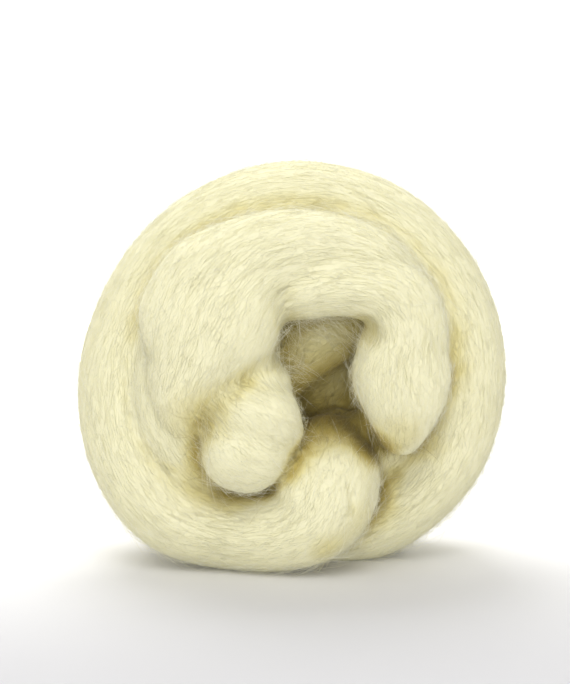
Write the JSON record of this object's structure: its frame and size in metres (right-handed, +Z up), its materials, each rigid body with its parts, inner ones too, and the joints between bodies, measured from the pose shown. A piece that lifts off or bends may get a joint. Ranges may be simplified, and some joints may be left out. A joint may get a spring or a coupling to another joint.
{
  "type": "wool roving",
  "caption": "Nest of combed wool roving: one soft rope of fibre wound into an upright coil, with a fan, a fold and a knot round the hollow at its front.",
  "frame": {"origin": "middle of the nest's box in X and Y, on the surface that the nest stands on", "axes": "+X across the nest, +Y from its front to its back, +Z up"},
  "size_m": [0.1508, 0.0862, 0.142],
  "materials": {
    "wool": "undyed cream combed wool, soft and matt, with fine silky fibres and a fuzzy edge"
  },
  "bodies": {
    "root": {"roving_nest": "wool"}
  },
  "joints": []
}
